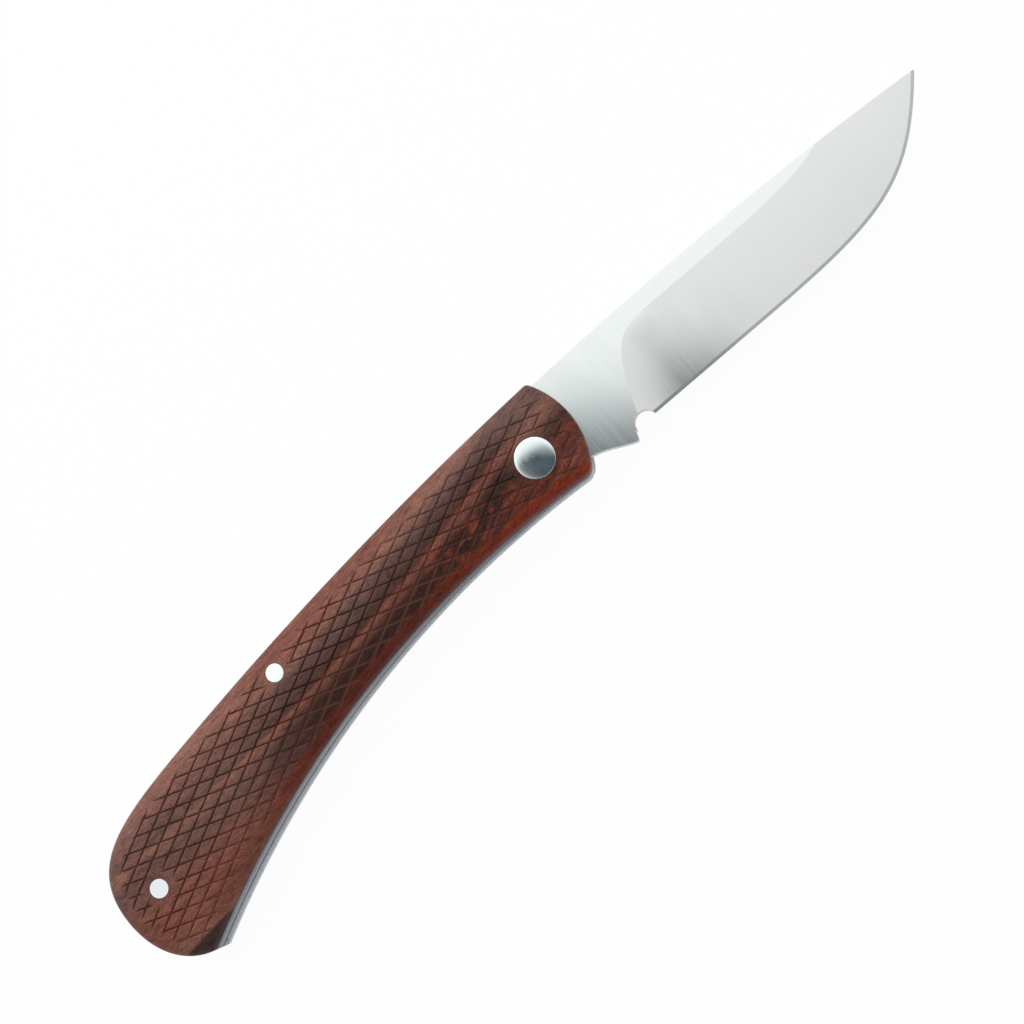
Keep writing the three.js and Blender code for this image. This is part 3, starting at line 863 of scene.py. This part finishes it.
chance = np.random.default_rng(11)
grooves = []
for direction, first, spacing, growth, numbers in (first_family, second_family):
    along = np.array((math.cos(direction), math.sin(direction)))
    across = np.array((-along[1], along[0]))
    for i in numbers:
        base = across * (first + spacing * i + growth * i * i)
        reach = np.arange(-130, 60, 0.1)
        line = base + reach[:, None] * along
        line = line[(line[:, 0] > -104) & (line[:, 0] < 12)]
        inside = in_field(line)
        for centre, radius in stops:
            inside &= np.linalg.norm(line - centre, axis=1) > radius
        runs = np.flatnonzero(np.diff(np.concatenate([[0], inside.astype(int), [0]])))
        for start, end in zip(runs[::2], runs[1::2]):
            a, b = line[start], line[end - 1]
            a = a - along * chance.uniform(-groove_slip, groove_slip)
            b = b + along * chance.uniform(-groove_slip, groove_slip)
            if np.linalg.norm(b - a) > shortest_groove:
                grooves.append((a, b, along, across))


def half_width_at(points):
    """Half the width of the grooves, which widen towards the belly, but not at the butt."""
    from_belly = np.linalg.norm(points - wood_belly_centre, axis=1) - wood_belly_radius
    near_belly = np.clip((7 - from_belly) / 2.5, 0, 1)
    past_butt = np.clip((points[:, 0] + 78) / 14, 0, 1)
    return groove_half + (grazed_half - groove_half) * near_belly * past_butt


def groove_share(points, groove):
    """How far across a groove each point is, in half widths' millimetres, and its taper."""
    a, b, along, across = groove
    off = points - a
    s = off @ along
    length = np.linalg.norm(b - a)
    return np.abs(off @ across), np.clip(np.minimum(s, length - s) / groove_taper, 0, 1)


def cut_depth(points):
    """Depth of the sharp V, and of the worn shoulders beside it."""
    sharp = np.zeros(len(points))
    worn = np.zeros(len(points))
    half_width = half_width_at(points)
    for groove in grooves:
        off, taper = groove_share(points, groove)
        near = taper > 0
        inner = half_width * np.maximum(taper, 1e-3)
        outer = shoulder_half * np.maximum(taper, 1e-3)
        v = groove_depth * taper * np.clip(1 - off / inner, 0, 1)
        shoulder = shoulder_depth * taper * np.clip((outer - off) / (outer - inner), 0, 1) ** 2
        sharp = np.where(near, np.maximum(sharp, v), sharp)
        worn = np.where(near, np.maximum(worn, shoulder), worn)
    return sharp, worn


lines = []
for a, b, along, across in grooves:
    lines.append([a, b])
    length = np.linalg.norm(b - a)
    reaches = np.linspace(groove_taper, length - groove_taper, max(2, round(length / 2)))
    stations = a + reaches[:, None] * along
    for half_width in (half_width_at(stations), np.full(len(stations), shoulder_half)):
        for side in (-1, 1):
            lines.append([a, *(stations + side * half_width[:, None] * across), b])

rings = []
for turn in np.linspace(0, 1, 14)[1:]:
    gap = crown_width * (1 - math.cos(turn * math.pi / 2))
    rings.append(inset(wood_outline, gap)[:: 1 if gap < 1.5 else 2])
fill = np.concatenate(rings + [[(x, y) for x in np.arange(-98, 6, 2.0) for y in np.arange(-26, 9, 2.0)]])
fill = fill[within(wood_outline, fill)]
fill = fill[nearest_on(wood_line, fill)[0] > 0.01]
wood_holes = [
    circle(np.zeros(2), head_diameter + 2 * pin_clearance, 72),
    circle(mid_pin, mid_pin_diameter + 2 * pin_clearance),
    circle(end_pin, end_pin_diameter + 2 * pin_clearance),
]
corners, triangles, numbers = sheet_of([wood_outline] + [h[::-1] for h in wood_holes], lines, fill)
sharp, worn = cut_depth(corners)
heights, inward = crown_height(corners)
_, feet = nearest_on(wood_line, corners)
away = corners - feet
away /= np.maximum(np.linalg.norm(away, axis=1), 1e-9)[:, None]
away[numbers[0]] = (inset(wood_outline, 0.1) - wood_outline) / 0.1
crown_slope = away * inward[:, None]
heights = heights - sharp - worn

middles = corners[triangles].mean(1)
cut = cut_depth(middles)[0] > 1e-4
worn_slopes = slopes_at(just_inside(corners[triangles], 0.04), lambda points: cut_depth(points)[1], 0.003)
wood_normals = normals_of(crown_slope[triangles] - worn_slopes.reshape(*triangles.shape, 2))
solid_points = np.concatenate([corners, heights[:, None]], 1)[triangles]
facing_up = np.cross(solid_points[:, 1] - solid_points[:, 0], solid_points[:, 2] - solid_points[:, 0])
facing_up /= np.maximum(np.linalg.norm(facing_up, axis=1), 1e-12)[:, None]
wood_normals[cut] = facing_up[cut][:, None]

bottom_loops = [wood_outline, circle(np.zeros(2), pivot_diameter + 2 * pin_clearance, 72)] + wood_holes[1:]
bottom_sheet = sheet_of([wood_outline] + [h[::-1] for h in bottom_loops[1:]])
bottom_corners, bottom_triangles, bottom_numbers = bottom_sheet


def wooden_scale(name, liner_face, side):
    """One scale on its liner's face, growing up (side 1) or down (side -1)."""
    count = len(corners)
    points = [(x, y, liner_face + side * h) for (x, y), h in zip(corners, heights)]
    points += [(x, y, liner_face) for x, y in bottom_corners]
    faces = [tuple(t) for t in triangles]
    faces += [tuple(n + count for n in t[::-1]) for t in bottom_triangles]
    seat_height = liner_face + side * (scale_thickness - head_seat)
    for loop, (over, under) in enumerate(zip(numbers, bottom_numbers)):
        rings = [over, [n + count for n in under]]
        if loop == 1:
            for hole in (wood_holes[0][::-1], bottom_loops[1][::-1]):
                rings.insert(-1, range(len(points), len(points) + len(hole)))
                points += [(x, y, seat_height) for x, y in hole]
        for high, low in zip(rings, rings[1:]):
            faces += band(low, high)
    faces = [tuple(int(n) for n in f) for f in faces]
    if side < 0:
        faces = [f[::-1] for f in faces]
    thing = mesh_object(name, points, faces)
    smooth(thing, 40)
    normals = np.zeros((len(thing.data.loops), 3))
    given = wood_normals if side > 0 else wood_normals[:, ::-1] * (1, 1, -1)
    normals[: 3 * len(triangles)] = given.reshape(-1, 3)
    thing.data.normals_split_custom_set(normals.tolist())
    thing.data.polygons.foreach_set("material_index", [int(c) for c in cut] + [0] * (len(faces) - len(cut)))
    return thing


# The tones of the wood
tones = {
    "heartwood": "#3c231c",
    "umber": "#492f29",
    "red-brown": "#593026",
    "chestnut": "#6a372b",
    "grey-brown": "#674942",
    "orange-brown": "#7b493c",
    "pale brown": "#86594c",
}
# How its streaks lie across the grain, in mm, the belly's side first, in three stretches of the
# handle that each take over from the one before
grain_low, grain_high = -16, 9
streaks = {
    "butt": (
        (-16, "pale brown"), (-14, "orange-brown"), (-9.5, "orange-brown"), (-2.2, "grey-brown"),
        (0.4, "pale brown"), (1.2, "grey-brown"), (8, "pale brown"),
    ),
    "middle": (
        (-6.2, "red-brown"), (-4.2, "heartwood"), (-1.9, "heartwood"), (0.3, "orange-brown"),
        (0.9, "red-brown"), (1.6, "umber"), (4.7, "grey-brown"), (6.4, "pale brown"), (9, "orange-brown"),
    ),
    "pivot": (
        (-12.4, "orange-brown"), (-11.5, "chestnut"), (-10.4, "orange-brown"), (-9, "red-brown"),
        (-7, "chestnut"), (-4.6, "umber"), (-0.8, "pale brown"), (0.8, "grey-brown"),
    ),
}
# The grain is nearly straight in the board and falls towards the butt: a streak's Y is
# grain_height + (grain_slope + grain_bend x) x
grain_height, grain_slope, grain_bend = 5.1, 0.2747, 0.0014
# The margin along the belly, rubbed red, from the butt to the nose
margin = ((-84, "#8a4c3c"), (-60, "#6a2e20"), (-32, "#612a1e"), (-8, "#873220"))
# Marks drawn out along the grain: length, width and depth in mm, detail and roughness
wood_marks = {
    "wander": ((7, 1.5, 5), 3.0, 0.5),
    "patches": ((3, 1.3, 3), 4.0, 0.65),
    "flecks": ((3, 0.8, 2), 3.0, 0.6),
    "fibres": ((1.6, 0.3, 0.5), 4.0, 0.7),
    "pores": ((0.3, 0.3, 0.3), 1.0, 0.5),
}
corner_lean = -0.115  # Y to X of the dark corner's border


def hardwood(name, cut):
    """Red-brown hardwood: streaks from near-black to orange that follow the handle's curve, with
    fine fibres along them. Either oiled, with a soft sheen, or as in the grooves, darkened there by
    painted shade and lightened near the belly by painted light."""
    material = bpy.data.materials.new(name)
    tree = bare_tree(material)
    place = add_node(tree, "TexCoord").outputs["Object"]
    in_mm = add_node(tree, "VectorMath", {0: place, "Scale": 1 / mm}, operation="SCALE")
    xyz = add_node(tree, "SeparateXYZ", {0: in_mm})
    x = xyz.outputs["X"]
    slope = add_node(tree, "Math", {0: x, 1: grain_bend, 2: grain_slope}, operation="MULTIPLY_ADD")
    fall = add_node(tree, "Math", {0: x, 1: slope, 2: grain_height}, operation="MULTIPLY_ADD")
    across_grain = add_node(tree, "Math", {0: xyz.outputs["Y"], 1: fall}, operation="SUBTRACT")
    along_grain = add_node(tree, "CombineXYZ", {"X": x, "Y": across_grain, "Z": xyz.outputs["Z"]})
    marks = {}
    for mark, (size, detail, roughness) in wood_marks.items():
        finer = [1 / s for s in size]
        spread = add_node(tree, "VectorMath", {0: along_grain, 1: finer}, operation="MULTIPLY")
        noise = {"Vector": spread, "Scale": 1.0, "Detail": detail, "Roughness": roughness}
        marks[mark] = add_node(tree, "TexNoise", noise)

    flat_place = add_node(tree, "VectorMath", {0: in_mm, 1: (1, 1, 0)}, operation="MULTIPLY")
    from_belly = {0: flat_place, 1: (*wood_belly_centre, 0)}
    from_belly = add_node(tree, "VectorMath", from_belly, operation="DISTANCE")
    ragged = add_node(tree, "Math", {0: marks["wander"], 1: 3.0, 2: from_belly}, operation="MULTIPLY_ADD")
    corner_line = {0: x, 1: corner_lean, 2: xyz.outputs["Y"]}
    corner_line = add_node(tree, "Math", corner_line, operation="MULTIPLY_ADD")
    belly = wood_belly_radius
    # How each feature fades: what it is measured by, from and to where, and its share at each
    fades = {
        "middle": (x, -76, -52, 0, 1),
        "pivot": (x, -8, 3, 0, 1),
        "margin": (ragged, belly + 2.7, belly + 3.5, 1, 0),
        "past the butt": (x, -84, -62, 0, 1),
        "patch": (marks["patches"], 0.5, 0.62, 0, 0.62),
        "in front": (x, -34, -20, 0, 1),
        "towards the belly": (from_belly, belly + 8, belly + 5.5, 0, 1),
        "dark corner": (corner_line, -14.4, -13.9, 1, 0),
        "painted light near the belly": (from_belly, belly + 2.5, belly + 9, 1, 0),
        "paler towards the nose": (x, -46, -20, 0, 1),
        "paler past the butt": (x, -68, -54, 0, 1),
        "less pale in front": (x, -26, -16, 0.9, 0.45),
    }

    def share_of(*features):
        """Where all of these features are."""
        share = None
        for feature in features:
            reach = zip(("Value", "From Min", "From Max", "To Min", "To Max"), fades[feature])
            fade = add_node(tree, "MapRange", dict(reach), interpolation_type="SMOOTHSTEP")
            share = add_node(tree, "Math", {0: share, 1: fade}, operation="MULTIPLY") if share else fade
        return share

    wandered = add_node(tree, "Math", {0: marks["wander"], 1: 1.1, 2: -0.55}, operation="MULTIPLY_ADD")
    grain = add_node(tree, "Math", {0: across_grain, 1: wandered}, operation="ADD")
    grain = add_node(tree, "MapRange", {"Value": grain, "From Min": grain_low, "From Max": grain_high})
    figure = None
    for stretch, tones_across in streaks.items():
        stops = [((y - grain_low) / (grain_high - grain_low), tones[tone]) for y, tone in tones_across]
        streaked = add_node(tree, "ValToRGB", {"Fac": grain}, stops)
        if figure:
            over = {"Factor": share_of(stretch), "A": figure, "B": streaked}
            streaked = add_node(tree, "Mix", over, data_type="RGBA")
        figure = streaked
    butt_end, nose_end = margin[0][0], margin[-1][0]
    along_margin = add_node(tree, "MapRange", {"Value": x, "From Min": butt_end, "From Max": nose_end})
    stops = [((x_place - butt_end) / (nose_end - butt_end), hex_code) for x_place, hex_code in margin]
    rubbed = add_node(tree, "ValToRGB", {"Fac": along_margin}, stops)
    # The rubbed margin with its ragged border, marbled patches of orange-red between the pivot and
    # the middle, and a dark corner of heartwood at the belly end of the butt
    for share, tone in (
        (share_of("margin", "past the butt"), rubbed),
        (share_of("patch", "in front", "towards the belly"), colour("#8e3f2b")),
        (share_of("dark corner"), colour("#43302b")),
    ):
        figure = add_node(tree, "Mix", {"Factor": share, "A": figure, "B": tone}, data_type="RGBA")
    # Flecks that break the streaks up, the fibres' own light and dark, and pores
    light = add_node(tree, "Math", {0: marks["flecks"], 1: 0.8, 2: marks["fibres"]}, operation="MULTIPLY_ADD")
    light = add_node(tree, "Math", {0: marks["pores"], 1: 0.75, 2: light}, operation="MULTIPLY_ADD")
    reach = {"Value": light, "From Min": 0.95, "From Max": 1.6, "To Min": 0.48, "To Max": 1.52}
    light = add_node(tree, "MapRange", reach)
    shown = add_node(tree, "VectorMath", {0: figure, "Scale": light}, operation="SCALE")
    if cut:
        # Darker than the oiled wood: painted shade in the grooves. Less dark towards the nose, and lighter
        # near the belly, where the paleness is painted light on the groove walls that face the lamp; there,
        # away from the butt and less in front, also mixed towards a pale grey-brown
        painted_groove_shade = (0.54, 0.46, 0.42, 1)
        for feature, lighter_tone in (
            ("paler towards the nose", (0.82, 0.83, 0.82, 1)),
            ("painted light near the belly", (0.9, 0.86, 0.84, 1)),
        ):
            lighter = {"Factor": share_of(feature), "A": painted_groove_shade, "B": lighter_tone}
            painted_groove_shade = add_node(tree, "Mix", lighter, data_type="RGBA")
        groove_shaded = add_node(tree, "VectorMath", {0: shown, 1: painted_groove_shade}, operation="MULTIPLY")
        pale_share = share_of("paler past the butt", "less pale in front", "painted light near the belly")
        shown = add_node(tree, "Mix", {"Factor": pale_share, "A": groove_shaded, "B": colour("#5c3a31")}, data_type="RGBA")
        finish = {"Base Color": shown, "Roughness": 0.75, "IOR": 1.45, "Specular IOR Level": 0.12}
    else:
        relief = add_node(tree, "Bump", {"Height": marks["fibres"], "Distance": 0.03 * mm, "Strength": 0.5})
        finish = {"Base Color": shown, "Roughness": 0.45, "IOR": 1.48, "Specular IOR Level": 0.15}
        finish["Normal"] = relief
    surface = add_node(tree, "BsdfPrincipled", finish)
    add_node(tree, "OutputMaterial", {"Surface": surface})
    return material


# Sawn, sanded and oiled: a deep warm colour with a soft sheen along the crown
oiled_wood = hardwood("oiled red-brown hardwood", cut=False)
# The same wood in the grooves: dull, darkened by painted shade and near the belly lightened by painted light,
# so that the lozenges stand out
cut_wood = hardwood("cut red-brown hardwood", cut=True)

for name, node, liner_face, side in (
    ("scale_left", "left_scale", left_liner_z, -1),
    ("scale_right", "right_scale", right_scale_z, 1),
):
    scale = wooden_scale(name, liner_face, side)
    dress(scale, oiled_wood, "handle", "wood", node)
    scale.data.materials.append(cut_wood)


# Pins
# Two stainless steel pins that go through scales, liners and spring, peened, and ground and
# polished flush with the crowned wood on both sides.

pin_break = 0.05  # softened rim of each end


def flush_pin(name, centre, diameter):
    radius = diameter / 2
    steps = 48
    reaches = [0, 0.25, 0.5, 0.75, (radius - pin_break) / radius, 1]
    points = []
    rings = []
    for side, liner_face in ((-1, left_liner_z), (1, right_scale_z)):
        ends = []
        for reach in reaches:
            ring = circle(centre, diameter * reach, steps) if reach else np.array([centre])
            tops = crown_height(ring)[0] - (pin_break if reach == 1 else 0)
            ends.append(range(len(points), len(points) + len(ring)))
            points += [(x, y, liner_face + side * h) for (x, y), h in zip(ring, tops)]
        rings += ends if side < 0 else ends[::-1]
    faces = [(rings[0][0], rings[1][(i + 1) % steps], rings[1][i]) for i in range(steps)]
    for low, high in zip(rings[1:-1], rings[2:-1]):
        faces += band(low, high)
    faces += [(rings[-1][0], rings[-2][i], rings[-2][(i + 1) % steps]) for i in range(steps)]
    return smooth(mesh_object(name, points, faces))


# Stainless steel pin wire, ground flush and polished: near-white, with faint round scratches
pin_steel = brushed_steel(
    "polished stainless pin wire", ("#e4e9e9", "#f0f3f3"), 0.28, (0.5, 0.15, 2), (2, 2, 2), 0.0006
)
for name, node, centre, diameter in (
    ("pin_middle", "mid_pin", mid_pin, mid_pin_diameter),
    ("pin_end", "end_pin", end_pin, end_pin_diameter),
):
    dress(flush_pin(name, centre, diameter), pin_steel, "handle", "pin_steel", node)


# Pivot
# A turned stainless steel barrel with a low domed head, and a screw that closes it from the
# other side, its flat head driven through two spanner holes.

head_rim = 0.08  # height of the head's straight rim over the wood
rim_wall = 0.06
dome_rise = 0.3
dome_radius = 34  # the head is nearly flat,
rim_turn = 12  # and turns down more sharply at its rim, by this power
screw_shank = 3.1
screw_bore_depth = 7.6
barrel_gap = 0.1


def turned(name, profile, steps=72):
    """A turned piece about the pivot axis: radius and height from the bottom up."""
    points = []
    rings = []
    for radius, z in profile:
        ring = circle(np.zeros(2), 2 * radius, steps) if radius else np.zeros((1, 2))
        rings.append(range(len(points), len(points) + len(ring)))
        points += [(x, y, z) for x, y in ring]
    faces = []
    for low, high in zip(rings, rings[1:]):
        for i in range(steps):
            j = (i + 1) % steps
            corner = [low[i % len(low)], low[j % len(low)], high[j % len(high)], high[i % len(high)]]
            faces.append(tuple(n for k, n in enumerate(corner) if n not in corner[:k]))
    return smooth(mesh_object(name, points, faces))


head_radius = head_diameter / 2
bore_radius = screw_shank / 2 + pin_clearance
rim_z = top_z + head_rim
edge_rise = dome_rise - head_radius**2 / (2 * dome_radius)
dome = []
for r in head_radius * np.sin(np.linspace(math.pi / 2, 0, 36)):
    rise = dome_rise - r**2 / (2 * dome_radius)
    turned_down = (1 - math.sqrt(max(0, 1 - (r / head_radius) ** rim_turn))) * edge_rise
    dome.append((r if r > 1e-6 else 0, rim_z + rise - turned_down))
barrel = turned(
    "domed_barrel",
    [
        (0, head_seat + screw_bore_depth),
        (bore_radius, head_seat + screw_bore_depth),
        (bore_radius, head_seat + barrel_gap),
        (pivot_diameter / 2, head_seat + barrel_gap),
        (pivot_diameter / 2, top_z - head_seat),
        (head_radius, top_z - head_seat),
        (head_radius, rim_z - rim_wall),
        *dome,
    ],
)
# Stainless steel, turned and softly polished: the room shows in it as broad light and dark
turned_steel = brushed_steel(
    "softly polished stainless steel", ("#dfe4e4", "#e8ecec"), 0.13, (0.6, 1.5, 2), (2, 2, 2), 0.0002
)
dress(barrel, turned_steel, "handle", "polished_steel", "pivot_barrel")

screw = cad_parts["pivot_screw"]
screw.data.materials.clear()
screw.data.materials.append(turned_steel)
